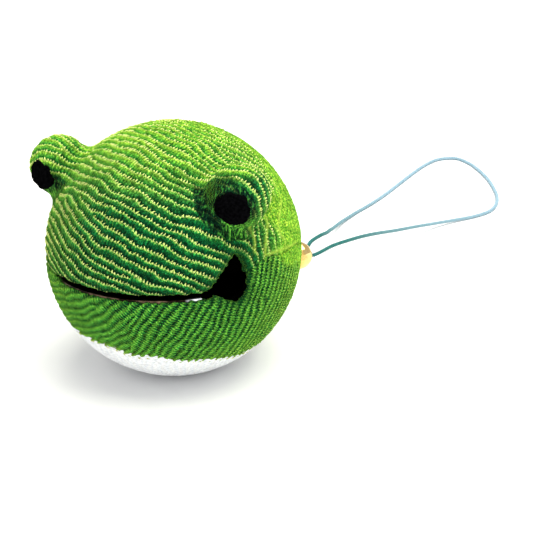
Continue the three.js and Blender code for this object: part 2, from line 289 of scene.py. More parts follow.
def nudged(directions, move):
    """How the surface moves for a small move of the directions."""
    return slope_of(surface, directions, move)


def tangents(directions):
    helper = np.where(np.abs(directions[:, 2:3]) < 0.9, [[0, 0, 1.0]], [[1.0, 0, 0]])
    a = unit(np.cross(helper, directions))
    return a, np.cross(directions, a)


def normals(directions):
    a, b = tangents(directions)
    return unit(np.cross(nudged(directions, a), nudged(directions, b)))


def icospheres(level):
    """Every level of a subdivided icosahedron, as (directions, triangles, each new point's two parents)."""
    g = (1 + 5**0.5) / 2
    corners = [(-1, g, 0), (1, g, 0), (-1, -g, 0), (1, -g, 0), (0, -1, g), (0, 1, g)]
    corners += [(0, -1, -g), (0, 1, -g), (g, 0, -1), (g, 0, 1), (-g, 0, -1), (-g, 0, 1)]
    fan = [(0, 11, 5), (0, 5, 1), (0, 1, 7), (0, 7, 10), (0, 10, 11), (1, 5, 9), (5, 11, 4)]
    fan += [(11, 10, 2), (10, 7, 6), (7, 1, 8), (3, 9, 4), (3, 4, 2), (3, 2, 6), (3, 6, 8)]
    fan += [(3, 8, 9), (4, 9, 5), (2, 4, 11), (6, 2, 10), (8, 6, 7), (9, 8, 1)]
    directions, triangles = unit(corners), np.array(fan)
    levels = [(directions, triangles, None)]
    for _ in range(level):
        pairs = np.sort(triangles[:, [0, 1, 1, 2, 2, 0]].reshape(-1, 2), axis=1)
        parents, which = np.unique(pairs, axis=0, return_inverse=True)
        ab, bc, ca = (which.reshape(-1, 3) + len(directions)).T
        a, b, c = triangles.T
        middle = unit(directions[parents[:, 0]] + directions[parents[:, 1]])
        directions = np.vstack([directions, middle])
        quarters = [(a, ab, ca), (ab, b, bc), (ca, bc, c), (ab, bc, ca)]
        triangles = np.concatenate([np.stack(q, axis=1) for q in quarters])
        levels.append((directions, triangles, parents))
    return levels


def neighbours(count, triangles):
    """Up to six neighbours of each point; a missing sixth is the point itself, with no weight."""
    pairs = np.unique(np.sort(triangles[:, [0, 1, 1, 2, 2, 0]].reshape(-1, 2), axis=1), axis=0)
    both = np.vstack([pairs, pairs[:, ::-1]])
    both = both[np.argsort(both[:, 0], kind="stable")]
    first = np.searchsorted(both[:, 0], np.arange(count))
    slot = np.arange(len(both)) - first[both[:, 0]]
    table = np.repeat(np.arange(count)[:, None], 6, axis=1)
    weight = np.zeros((count, 6))
    table[both[:, 0], slot] = both[:, 1]
    weight[both[:, 0], slot] = 1
    return table, weight


SPHERES = icospheres(SPHERE_LEVEL)
NEIGHBOURS = {
    level: neighbours(len(SPHERES[level][0]), SPHERES[level][1])
    for level in range(COARSE_LEVEL, SPHERE_LEVEL + 1)
}


def ripple(points, size, seed, waves=20):
    """Smooth noise of about unit strength, whose features are about that many millimetres."""
    rng = np.random.default_rng(seed)
    total = np.zeros(len(points))
    for _ in range(waves):
        wave = unit(rng.normal(size=3)) * 2 * np.pi / (size * rng.uniform(1.4, 3.2))
        total += np.sin(points @ wave + rng.uniform(0, 2 * np.pi))
    return total / np.sqrt(waves / 2)


# Crinkles: ridges of even spacing that follow guides (azimuth, elevation, lean of the ridge from level)

HEAD_GUIDES = [
    (41, 74, -53), (75, 64, -79), (130, 48, -127), (100, 54, -51),
    (106, 46, -75), (104, 35, -96), (102, 26, -102), (101, 15, -106),
    (92, 12, -100), (82, 7, -94), (80, 18, -115), (70, 31, -75),
    (67, 38, -70), (62, 44, -45), (54, 44, -45), (52, 35, -63),
    (53, 50, -54), (65, 18, -14), (54, 22, -29), (48, 28, -37),
    (39, 8, -26), (27, 42, -34), (21, 20, -25), (7, 7, -13),
    (2, 37, -17), (-13, 66, -10), (-22, 50, 4), (-11, 22, -24),
    (-26, 27, -20), (-26, 11, -23), (-40, 50, 4), (-45, 41, 20),
    (-54, 46, 50), (-60, 43, 50), (-58, 15, 15), (-75, 20, 80),
    (-100, 20, 100), (-92, 52, 60), (-130, 45, 125), (-160, 30, 165),
    (160, 35, -160), (180, 62, 180), (180, 15, 180), (140, 15, -120),
    (-140, 12, 135),
]
JAW_GUIDES = [
    (5, -11, 39), (25, -15, 55), (44, -15, 64), (67, -18, 73),
    (83, -8, 68), (95, 0, 66), (-12, -8, 21), (-21, -3, 18),
    (-50, -12, 12), (-90, -10, 40), (-140, -8, 55), (180, -8, 62),
    (135, -8, 58), (30, -40, 60), (-150, -40, 60),
]
BELLY_GUIDES = [(0, -60, 80), (90, -60, 80), (180, -60, 80), (-90, -60, 80), (30, -30, 80)]


def ridge_direction(directions, guides):
    """The way that the ridges run at each direction, on the plain ball."""
    total = np.zeros_like(directions)
    for azimuth, elevation, lean in guides:
        at = heading(azimuth, elevation)
        east = heading(azimuth + 90, 0)
        north = np.cross(at, east) * -1
        north = north * np.sign(north[2] if abs(north[2]) > 1e-9 else 1)
        run = np.cos(np.radians(lean)) * east + np.sin(np.radians(lean)) * north
        apart = np.degrees(np.arccos(np.clip(directions @ at, -1, 1)))
        total += (1 / (apart**2 + 8**2) ** 2)[:, None] * run
    total -= (total * directions).sum(1)[:, None] * directions
    return unit(total)


class Crinkle:
    """Phases of ridges, and of the threads across them, at every point of the finest sphere."""

    def __init__(self, guides, pitch, thread, seed):
        self.guides, self.seed = guides, seed
        self.ridge = self.solve(pitch, along=False, coarse=COARSE_LEVEL)
        self.cross = self.solve(thread, along=True, coarse=SPHERE_LEVEL - 1)

    def rates(self, directions, pitch, along):
        """How fast the phase grows along the surface, as a vector in radians per millimetre."""
        run = unit(nudged(directions, ridge_direction(directions, self.guides)))
        across = np.cross(normals(directions), run)
        return (run if along else across) * 2 * np.pi / pitch

    def solve(self, pitch, along, coarse):
        rng = np.random.default_rng(self.seed)
        rounds = {3: 80, 4: 60, 5: 40, 6: 30, 7: 14}
        z = rate = points = None
        for level in range(coarse, SPHERE_LEVEL + 1):
            directions, _, parents = SPHERES[level]
            was, old_rate = points, rate
            points = surface(directions)
            rate = self.rates(directions, pitch, along)
            if z is None:
                z = np.exp(2j * np.pi * rng.random(len(directions)))
            else:
                known = len(was)
                middle = 0
                for parent in parents.T:
                    step = points[known:] - was[parent]
                    grow = ((rate[known:] + old_rate[parent]) / 2 * step).sum(1)
                    middle = middle + z[parent] * np.exp(1j * grow)
                z = np.concatenate([z, middle])
            table, weight = NEIGHBOURS[level]
            step = points[table] - points[:, None]
            grow = ((rate[table] + rate[:, None]) / 2 * step).sum(2)
            carry = weight * np.exp(-1j * grow)
            for _ in range(rounds[level]):
                z = (carry * z[table]).sum(1)
                z /= np.maximum(np.abs(z), 1e-9)
        return np.angle(z)


def triangle_turns(phase, rate, points, triangles):
    """The phase in turns at each triangle's corners, continuous inside the triangle."""
    turns = np.zeros(triangles.shape)
    first = triangles[:, 0]
    turns[:, 0] = phase[first] / (2 * np.pi)
    for k in (1, 2):
        other = triangles[:, k]
        grow = ((rate[first] + rate[other]) / 2 * (points[other] - points[first])).sum(1)
        rest = phase[other] - phase[first] - grow
        rest = (rest + np.pi) % (2 * np.pi) - np.pi
        turns[:, k] = turns[:, 0] + (grow + rest) / (2 * np.pi)
    turns -= np.floor(turns.min(axis=1, keepdims=True))
    return turns


# Where each cloth piece is kept: positive inside, in millimetres to its edge

SEAM_Y = [-30, -9, -7.5, -6, -4.8, -3.4, -1.8, 0, 2, 4.2, 7, 10, 30]
SEAM_Z = [0, 0, 0.8, 1.7, 2.3, 2.6, 2.4, 2.1, 1.8, 1.4, 0.8, 0.2, -3]


def above_seam(p):
    wander = 0.12 * ripple(p * [1, 1, 0], 3, 11, 8)
    return p[:, 2] - np.interp(p[:, 1], SEAM_Y, SEAM_Z) + wander


def polygon_distance(x, y, outline):
    """Signed distance to a closed outline, negative inside."""
    best = np.full(len(x), 1e9)
    inside = np.zeros(len(x), bool)
    for (ax, ay), (bx, by) in zip(outline, np.roll(outline, -1, axis=0)):
        ex, ey = bx - ax, by - ay
        t = np.clip(((x - ax) * ex + (y - ay) * ey) / (ex * ex + ey * ey), 0, 1)
        best = np.minimum(best, np.hypot(x - ax - t * ex, y - ay - t * ey))
        crossing = (ay > y) != (by > y)
        with np.errstate(divide="ignore", invalid="ignore"):
            at = (bx - ax) * (y - ay) / np.where(by == ay, 1e-9, by - ay) + ax
        inside ^= crossing & (x < at)
    return np.where(inside, -best, best)


def quadratic(a, b, c, steps=8):
    t = np.linspace(0, 1, steps, endpoint=False)[:, None]
    return (1 - t) ** 2 * np.array(a) + 2 * t * (1 - t) * np.array(b) + t**2 * np.array(c)


def corner_outline():
    """The mouth corner's outline: x towards the back of the head, y up."""
    parts = [np.array([(-3.3, 0.3), (-1.6, 1.9)])]
    parts.append(quadratic((0.2, 3.8), (1.2, 4.6), (1.9, 3.4)))
    parts.append(quadratic((1.9, 3.4), (2.4, 1.6), (2, -0.3)))
    parts.append(quadratic((2, -0.3), (1.4, -1.8), (0.4, -1.8)))
    parts.append(np.array([(0.4, -1.8)]))
    return np.vstack(parts)


CORNER = corner_outline()


def eased(x):
    x = np.clip(x, 0, 1)
    return x * x * (3 - 2 * x)


def corner_distance(p):
    """Distance to the nearer mouth corner's hole, negative inside it."""
    nearest = np.full(len(p), 9.0)
    for side in (-1, 1):
        out = heading(side * CORNER_AZIMUTH, 0)
        across = heading(side * CORNER_AZIMUTH + 90, 0)
        d = polygon_distance(side * (p @ across), p[:, 2], CORNER)
        nearest = np.minimum(nearest, np.where(p @ out > 0, d, 9))
    return nearest


def mouth_distance(p, top, bottom):
    """Distance to the mouth: the slot between two heights, and the hole at each corner."""
    azimuth = np.degrees(np.arctan2(p[:, 0], -p[:, 1]))
    past = (np.abs(azimuth) - SLOT_HALF_ANGLE) * np.pi / 180 * BALL_R
    closing = eased((azimuth - SLOT_CLOSED) / (SLOT_OPEN - SLOT_CLOSED))
    half = (top - bottom) / 2 * closing - 0.03 * (closing == 0)
    middle = (top + bottom) / 2 * closing
    up = np.abs(p[:, 2] - middle) - half
    slot = np.where(past > 0, np.hypot(past, np.maximum(up, 0)), up)
    slot = np.where(p[:, 1] > 0, 9, slot)
    return np.minimum(slot, corner_distance(p))


BELLY_DOWN = unit([-np.tan(np.radians(8)), -np.tan(np.radians(6)), -1])


def below_belly_edge(p):
    return p @ BELLY_DOWN - BELLY_PLANE + 0.1 * ripple(p, 2.2, 5, 10)


def ragged(p, seed):
    return 0.05 * ripple(p, 0.35, seed, 14)


def head_keep(p):
    mouth = mouth_distance(p, 0.38, -0.5) - ragged(p, 21)
    return np.minimum(above_seam(p) - 0.02, mouth)


def jaw_keep(p):
    mouth = mouth_distance(p, 0.5, -0.6) - ragged(p, 22)
    belly = -below_belly_edge(p) + ragged(p, 23)
    return np.minimum(np.minimum(-above_seam(p) - 0.02, mouth), belly)


def belly_keep(p):
    return below_belly_edge(p) + 0.5


def trimmed(keep):
    """The sphere's directions moved onto the edges of a piece, and the triangles inside it."""
    directions, triangles, _ = SPHERES[SPHERE_LEVEL]
    directions = directions.copy()

    def depth(at):
        return keep(surface(at))

    inside = depth(directions)
    for _ in range(2):
        near = np.abs(inside) < 0.16
        q = directions[near]
        a, b = tangents(q)
        slope = [slope_of(depth, q, way) for way in (a, b)]
        steep = np.maximum(slope[0] ** 2 + slope[1] ** 2, 16.0)
        move = -(inside[near] / steep)[:, None]
        move = move * (slope[0][:, None] * a + slope[1][:, None] * b)
        reach = np.linalg.norm(move, axis=1, keepdims=True)
        allowed = 0.62 * 0.0082
        move *= np.minimum(1, allowed / np.maximum(reach, 1e-12)) * (reach < 2 * allowed)
        directions[near] = unit(q + move)
        inside[near] = depth(directions[near])
    kept = depth(unit(directions[triangles].mean(axis=1))) > 0
    kept &= (inside[triangles] > -0.09).all(axis=1)
    return directions, triangles[kept], inside


def mesh_area(points, triangles):
    a, b, c = (points[corner] for corner in triangles.T)
    return float(np.linalg.norm(np.cross(b - a, c - a), axis=1).sum() / 2)


def crest_shape(turns):
    """Height of a ridge's section: a steep drop above the crest and a long rise below the next one."""
    t = turns % 1
    drop = 0.5 + 0.5 * np.cos(np.pi * t / 0.3)
    rise = 0.5 - 0.5 * np.cos(np.pi * (t - 0.3) / 0.7)
    return np.where(t < 0.3, drop, rise**0.9)


# The smooth cloth round each pupil: where it lies, and how many degrees it reaches
CALM = {"right": (heading(8, -38), 48), "left": (heading(-4, -20), 78)}


def eye_calm(p):
    """1 where the cloth round a pupil has no crinkles, 0 away from it."""
    calm = np.zeros(len(p))
    for side, axis in EYE.items():
        look, reach = CALM[side]
        middle = axis * EYE_DISTANCE
        out = unit(p - middle)
        apart = np.degrees(np.arccos(np.clip(out @ look, -1, 1)))
        near = np.linalg.norm(p - middle, axis=1) < EYE_R + 1.6
        calm = np.maximum(calm, near * eased((reach - apart + 5 * ripple(p, 1.2, 31)) / 18))
    return calm


def eye_skirt(p):
    """1 where the cloth hangs straight down from a bump, 0 elsewhere."""
    skirt = np.zeros(len(p))
    for axis in EYE.values():
        out = unit(p - axis * EYE_DISTANCE)
        skirt = np.maximum(skirt, eased((-0.42 - out[:, 2]) / 0.3) * eased((out[:, 0] + 0.25) / 0.3))
    return skirt


# Azimuth where the left cheek's smooth cloth starts, at each elevation
PLAIN_ELEVATION = [-40, -8, 4, 25, 30, 36, 44, 52, 62]
PLAIN_START = [112, 104, 80, 78, 90, 101, 109, 117, 130]


def cheek_plain(directions):
    """1 where the cheeks are stretched smooth, 0 elsewhere."""
    azimuth = np.degrees(np.arctan2(directions[:, 0], -directions[:, 1]))
    elevation = np.degrees(np.arcsin(directions[:, 2]))
    starts = np.interp(elevation, PLAIN_ELEVATION, PLAIN_START)
    starts = starts + 3 * ripple(directions * BALL_R, 2.0, 32)
    left = eased((azimuth - starts) / 12) * eased((172 - azimuth) / 42)
    right = 0.5 * eased((-46 - azimuth) / 14) * eased((azimuth + 105) / 25) * eased((34 - elevation) / 12)
    return np.maximum(left, right)


FOLDS = [
    [(87, 27), (87, 22), (84, 18), (80, 14), (77, 9), (76, 4)],
    [(109, 36), (104, 28), (98, 24), (94, 21), (91, 17), (93, 12)],
    [(78, 10), (85, 10), (93, 9), (104, 7)],
    [(72, 12), (74, 16), (71, 20)],
]


def fold_nearness(p):
    """1 on the crest of a fold of the cheek, 0 away from it."""
    best = np.full(len(p), 9.0)
    for fold in FOLDS:
        route = smooth_line(surface(np.array([heading(*place) for place in fold])), 0.12)
        near = np.flatnonzero(np.linalg.norm(p - route.mean(axis=0), axis=1) < 7)
        for spot in route:
            best[near] = np.minimum(best[near], np.linalg.norm(p[near] - spot, axis=1))
    return np.exp(-((best / 0.2) ** 2))


def corner_shade(p):
    """1 at the rim of a mouth corner's hole, fading away from it."""
    return np.exp(-np.maximum(corner_distance(p), 0) / 0.9)


FACE = heading(24, 4)  # the front of the ball, where the cloth is coloured darkest; away from it painted light makes it paler


VALLEY_TURN = 0.42  # the share of a ridge's turn that the turned-in rim is coloured as, which gives it the valley's painted shade


def crepe(name, guides, keep, pitch, thread, relief, seed, rim, beading=0.04):
    """One piece of crinkled cloth. Returns the object and what its loose threads need."""
    crinkle = Crinkle(guides, pitch, thread, seed)
    fine = SPHERES[SPHERE_LEVEL][0]
    directions, triangles, inside = trimmed(keep)
    used = np.unique(triangles)
    renumber = np.full(len(directions), -1)
    renumber[used] = np.arange(len(used))
    triangles = renumber[triangles]
    q, edge = directions[used], np.maximum(inside[used], 0)
    smooth = surface(q)
    up = normals(q)
    moved = smooth - surface(fine[used])
    rates = {along: crinkle.rates(q, thread if along else pitch, along) for along in (False, True)}
    ridge = crinkle.ridge[used] + (rates[False] * moved).sum(1)
    cross = crinkle.cross[used] + (rates[True] * moved).sum(1)
    ridge = ridge + 0.8 * ripple(smooth, 1.9, seed + 1) + 0.3 * ripple(smooth, 0.9, seed + 2)
    turns_u = triangle_turns(ridge, rates[False], smooth, triangles)
    turns_v = triangle_turns(cross, rates[True], smooth, triangles)

    calm = eye_calm(smooth)
    plain = cheek_plain(q)
    fold = fold_nearness(smooth) * (keep is head_keep)
    height = crest_shape(ridge / (2 * np.pi))
    swell = 1 + 0.22 * ripple(smooth, 2.4, seed + 3)
    beads = beading * np.cos(cross) * height**2 * (1 - plain)
    fuzz = 0.022 * ripple(smooth, 0.3, seed + 4, 30)
    # Painted light: the cloth is coloured paler and yellower on top, where the key light falls, and towards
    # the sides away from the front, where light catches the rim
    from_face = np.degrees(np.arccos(np.clip(q @ FACE, -1, 1)))
    painted_light = 0.72 * eased((from_face - 40 + 4 * ripple(smooth, 3, seed + 8)) / 45)
    painted_light = np.maximum(painted_light, eased((up[:, 2] - 0.55) / 0.45))
    relief = relief * (1 - 0.6 * np.clip((np.linalg.norm(smooth, axis=1) - BALL_R) / 2, 0, 1))
    offset = relief * np.clip(swell, 0.4, 1.5) * (height - 0.62) * (1 - 0.95 * calm)
    offset = offset * (1 - 0.8 * plain) + beads * (1 - calm) + fuzz + 0.07 * fold
    mouth = np.maximum(mouth_distance(smooth, 0.45, -0.55), 0)
    dip = np.where((smooth[:, 1] < -6) & (np.abs(smooth[:, 2]) < 1.5), 0.1, 0.2)
    offset -= dip * np.exp(-((mouth / 0.32) ** 2)) + 0.06 * np.exp(-((edge / 0.2) ** 2))
    points = smooth + offset[:, None] * up
    points[:, 2] = np.maximum(points[:, 2], -BALL_Z + 0.02)

    pairs = triangles[:, [0, 1, 1, 2, 2, 0]].reshape(-1, 2)
    key = np.sort(pairs, axis=1)
    _, first, uses = np.unique(key, axis=0, return_index=True, return_counts=True)
    border = pairs[first[uses == 1]]
    on = np.unique(border)
    slot = np.full(len(points), -1)
    slot[on] = np.arange(len(on))
    rim_points, rim_faces = [], []
    above = np.arange(len(points))
    for depth in rim:
        ring = points[on] - depth * up[on]
        ring += 0.02 * ripple(ring, 0.25, seed + 6)[:, None] * up[on]
        below = len(points) + len(on) * len(rim_points) + slot
        rim_points.append(ring)
        a, b = border.T
        rim_faces.append(np.stack([above[b], above[a], below[a]], axis=1))
        rim_faces.append(np.stack([above[b], below[a], below[b]], axis=1))
        above = below
    all_points = np.vstack([points] + rim_points) + BALL
    all_faces = np.vstack([triangles] + rim_faces)
    made = new_mesh(name, all_points, all_faces)
    mesh = made.data
    uv = np.zeros((len(all_faces), 3, 2), np.float32)
    uv[: len(triangles), :, 0] = turns_u
    uv[: len(triangles), :, 1] = turns_v
    uv[len(triangles) :, :, 0] = VALLEY_TURN
    layer = mesh.uv_layers.new(name="weave")
    layer.data.foreach_set("uv", uv.ravel())
    extra = len(all_points) - len(points)
    attributes = {
        "calm": (calm, 0),
        # painted shade: darker towards the mouth slot and corner holes, and full on the turned-in rim
        "edge": (np.exp(-mouth / 0.3), 1),
        "fray": (np.exp(-np.abs(below_belly_edge(smooth)) / 0.22), 0),
        "painted_light": (painted_light, 0),
        "plain": (plain, 0),
        "skirt": (eye_skirt(smooth), 0),
        "fold": (fold, 0),
        "shade": (corner_shade(smooth), 0),
    }
    for key_name, (values, on_rim) in attributes.items():
        made_attribute = mesh.attributes.new(key_name, "FLOAT", "POINT")
        values = np.concatenate([values, np.full(extra, on_rim)])
        made_attribute.data.foreach_set("value", values.astype(np.float32))
    threads = {
        "points": points,
        "up": up,
        "across": unit(rates[False]),
        "run": unit(rates[True]),
        "triangles": triangles,
        "u": turns_u,
        "v": turns_v,
        "calm": np.maximum(calm, plain),
        "edge": edge,
        "border": border,
        "smooth": smooth,
        "area": mesh_area(smooth, triangles),
    }
    return made, threads


def lattice_points(t):
    """Where a ridge's crest meets a cross thread: triangle numbers and shares of its corners."""
    u, v = t["u"], t["v"]
    whole_u, whole_v = np.floor(u.max(1)), np.floor(v.max(1))
    hit = (whole_u >= u.min(1)) & (whole_v >= v.min(1))
    index = np.flatnonzero(hit)
    du1, du2 = u[index, 1] - u[index, 0], u[index, 2] - u[index, 0]
    dv1, dv2 = v[index, 1] - v[index, 0], v[index, 2] - v[index, 0]
    gu, gv = whole_u[index] - u[index, 0], whole_v[index] - v[index, 0]
    det = du1 * dv2 - du2 * dv1
    det = np.where(np.abs(det) < 1e-12, 1e-12, det)
    b1, b2 = (gu * dv2 - du2 * gv) / det, (du1 * gv - gu * dv1) / det
    good = (b1 >= 0) & (b2 >= 0) & (b1 + b2 <= 1)
    shares = np.stack([1 - b1 - b2, b1, b2], axis=1)
    return index[good], shares[good]


def tubes(paths, radii, sides=4):
    """Many short tubes: paths (tubes, points, 3) and radii (tubes, points). Returns points and quads."""
    count, steps, _ = paths.shape
    tangent = unit(np.gradient(paths, axis=1))
    helper = np.where(np.abs(tangent[..., 2:3]) < 0.8, [[[0, 0, 1.0]]], [[[1.0, 0, 0]]])
    a = unit(np.cross(tangent, helper))
    b = np.cross(tangent, a)
    angle = np.arange(sides) * 2 * np.pi / sides
    shell = a[:, :, None] * np.cos(angle)[:, None] + b[:, :, None] * np.sin(angle)[:, None]
    points = paths[:, :, None] + radii[:, :, None, None] * shell
    quads = ring_faces(steps, sides)
    faces = quads[None] + (np.arange(count) * steps * sides)[:, None, None]
    return points.reshape(-1, 3), faces.reshape(-1, 4)


def thread_paths(base, size, reach, way, lift, up):
    """Short paths that run one way from their bases, and rise and fall along the way."""
    paths = base[:, None] + size[:, None, None] * np.array(reach)[None, :, None] * way[:, None]
    return paths + np.array(lift)[None, :, None] * up[:, None]


def crest_teeth(name, t, seed, length, thick):
    """Short pale threads that stand across the crests."""
    rng = np.random.default_rng(seed)
    index, shares = lattice_points(t)
    corner = t["triangles"][index]

    def at(values):
        return (values[corner] * shares[..., None]).sum(1)

    base, up = at(t["points"]), unit(at(t["up"]))
    across, run = unit(at(t["across"])), unit(at(t["run"]))
    calm = (t["calm"][corner] * shares).sum(1)
    edge = (t["edge"][corner] * shares).sum(1)
    patchy = (0.66 + 0.3 * ripple(base, 2.0, seed + 1)) * eased((edge - 0.3) / 1.2)
    keep = (calm < 0.3) & (rng.random(len(base)) < patchy)
    base, up, across, run = base[keep], up[keep], across[keep], run[keep]
    count = len(base)
    base = base + rng.uniform(-0.08, 0.08, (count, 1)) * run
    size = length * rng.uniform(0.5, 1.25, count)
    lean = rng.normal(0, 0.25, count)
    swell = np.array([0.8, 1.2, 0.9, 0.3])
    way = across + lean[:, None] * run
    paths = thread_paths(base, size, [-0.35, 0.1, 0.55, 1.0], way, [-0.05, 0.01, 0.0, -0.08], up)
    radii = thick * rng.uniform(0.75, 1.25, count)[:, None] * swell[None]
    points, faces = tubes(paths, radii)
    return new_mesh(name, points + BALL, faces)


def edge_fray(name, t, seed):
    """Loose thread ends along the lower edge of the cloth, lying over the belly."""
    rng = np.random.default_rng(seed)
    a, b = t["border"].T
    smooth, points, up = t["smooth"], t["points"], t["up"]
    low = np.abs(below_belly_edge(smooth[a])) < 0.3
    a, b = a[low], b[low]
    pick = rng.random(len(a)) < 0.75
    a, b = a[pick], b[pick]
    count = len(a)
    share = rng.random((count, 1))
    base = points[a] * share + points[b] * (1 - share)
    out = up[a]
    down = unit(BELLY_DOWN - (out @ BELLY_DOWN)[:, None] * out)
    run = np.cross(out, down)
    way = unit(down + rng.normal(0, 0.55, (count, 1)) * run)
    size = rng.uniform(0.15, 0.42, count)
    paths = thread_paths(base, size, [-0.5, 0.2, 0.7, 1.0], way, [0.02, 0.03, -0.02, -0.06], out)
    radii = 0.035 * rng.uniform(0.7, 1.3, count)[:, None] * np.array([0.8, 1.0, 0.8, 0.4])[None]
    thread_points, faces = tubes(paths, radii)
    return new_mesh(name, thread_points + BALL, faces)


# Materials


def material(name):
    made = bpy.data.materials.new(name)
    made.use_nodes = True
    tree = made.node_tree
    shader = tree.nodes["Principled BSDF"]
    return made, tree, shader


def node(tree, kind, **settings):
    made = tree.nodes.new(kind)
    for key, value in settings.items():
        setattr(made, key, value)
    return made


def set_inputs(made, values):
    for name, value in values.items():
        made.inputs[name].default_value = value


def ramp(tree, source, stops):
    made = node(tree, "ShaderNodeValToRGB")
    elements = made.color_ramp.elements
    while len(elements) < len(stops):
        elements.new(0.5)
    for element, (place, colour) in zip(elements, stops):
        element.position = place
        element.color = (*colour, 1)
    tree.links.new(source, made.inputs[0])
    return made


def maths(tree, operation, a, b=None, clamp=False):
    made = node(tree, "ShaderNodeMath", operation=operation, use_clamp=clamp)
    for socket, value in zip(made.inputs, (a, b)):
        if value is None:
            continue
        if isinstance(value, (int, float)):
            socket.default_value = value
        else:
            tree.links.new(value, socket)
    return made.outputs[0]


def times(tree, a, b, clamp=False):
    return maths(tree, "MULTIPLY", a, b, clamp)


def band(tree, value, low, high):
    """0 at one value and 1 at another, in a straight line between them."""
    made = node(tree, "ShaderNodeMapRange")
    set_inputs(made, {"From Min": low, "From Max": high})
    tree.links.new(value, made.inputs["Value"])
    return made.outputs["Result"]


def mix(tree, share, a, b):
    made = node(tree, "ShaderNodeMix", data_type="RGBA")
    for socket, value in ((made.inputs[0], share), (made.inputs[6], a), (made.inputs[7], b)):
        if isinstance(value, tuple):
            socket.default_value = (*value, 1)
        elif isinstance(value, (int, float)):
            socket.default_value = value
        else:
            tree.links.new(value, socket)
    return made.outputs[2]


def noise(tree, scale, detail=3.0):
    place = node(tree, "ShaderNodeTexCoord")
    made = node(tree, "ShaderNodeTexNoise")
    set_inputs(made, {"Scale": scale, "Detail": detail, "Roughness": 0.6})
    tree.links.new(place.outputs["Object"], made.inputs["Vector"])
    return made.outputs[0]


def bump(tree, shader, height, strength, distance):
    made = node(tree, "ShaderNodeBump")
    set_inputs(made, {"Strength": strength, "Distance": distance})
    tree.links.new(height, made.inputs["Height"])
    tree.links.new(made.outputs[0], shader.inputs["Normal"])


TOOTH = (0.72, 0.80, 0.28)
PLAIN_GREEN = [(0.0, (0.06, 0.28, 0.012)), (0.6, (0.17, 0.46, 0.02)), (1.0, (0.48, 0.72, 0.05))]
# The calm cloth round a pupil, coloured near black as painted shade on the bump's shaded flank, and the
# cloth that hangs from a bump
FELT_SHADE = [(0.43, (0.0005, 0.006, 0.004)), (0.55, (0.002, 0.028, 0.012)), (0.66, (0.04, 0.22, 0.028))]
SKIRT = [(0.44, (0.001, 0.018, 0.006)), (0.51, (0.02, 0.17, 0.02)), (0.60, (0.13, 0.44, 0.04))]


def attribute(tree, name):
    return node(tree, "ShaderNodeAttribute", attribute_name=name).outputs["Fac"]


def laid_over(tree, colour, name, strength, other):
    """A colour mixed with another one where a point attribute is high."""
    return mix(tree, times(tree, attribute(tree, name), strength), colour, other)


def grain(tree, scale, detail, low=0.40, high=0.60):
    """Noise stretched to full contrast."""
    stops = [(low, (0, 0, 0)), (high, (1, 1, 1))]
    return ramp(tree, noise(tree, scale, detail), stops).outputs[0]


def shaded(tree, colour, grains):
    """A colour made lighter and darker by several grains, each of a given strength."""
    for value, strength in grains:
        factor = times(tree, maths(tree, "SUBTRACT", value, 0.5), strength)
        scaled = node(tree, "ShaderNodeVectorMath", operation="SCALE")
        tree.links.new(colour, scaled.inputs[0])
        tree.links.new(maths(tree, "ADD", factor, 1.0), scaled.inputs[3])
        colour = scaled.outputs[0]
    capped = node(tree, "ShaderNodeVectorMath", operation="MINIMUM")
    tree.links.new(colour, capped.inputs[0])
    capped.inputs[1].default_value = (0.88, 0.9, 0.9)
    return capped.outputs[0]


def strokes(tree, scale, stretch):
    """Noise drawn out along the height."""
    place = node(tree, "ShaderNodeTexCoord")
    stretched = node(tree, "ShaderNodeVectorMath", operation="MULTIPLY")
    tree.links.new(place.outputs["Object"], stretched.inputs[0])
    stretched.inputs[1].default_value = (1, 1, stretch)
    made = node(tree, "ShaderNodeTexNoise")
    set_inputs(made, {"Scale": scale, "Detail": 2.0})
    tree.links.new(stretched.outputs[0], made.inputs["Vector"])
    return made.outputs[0]


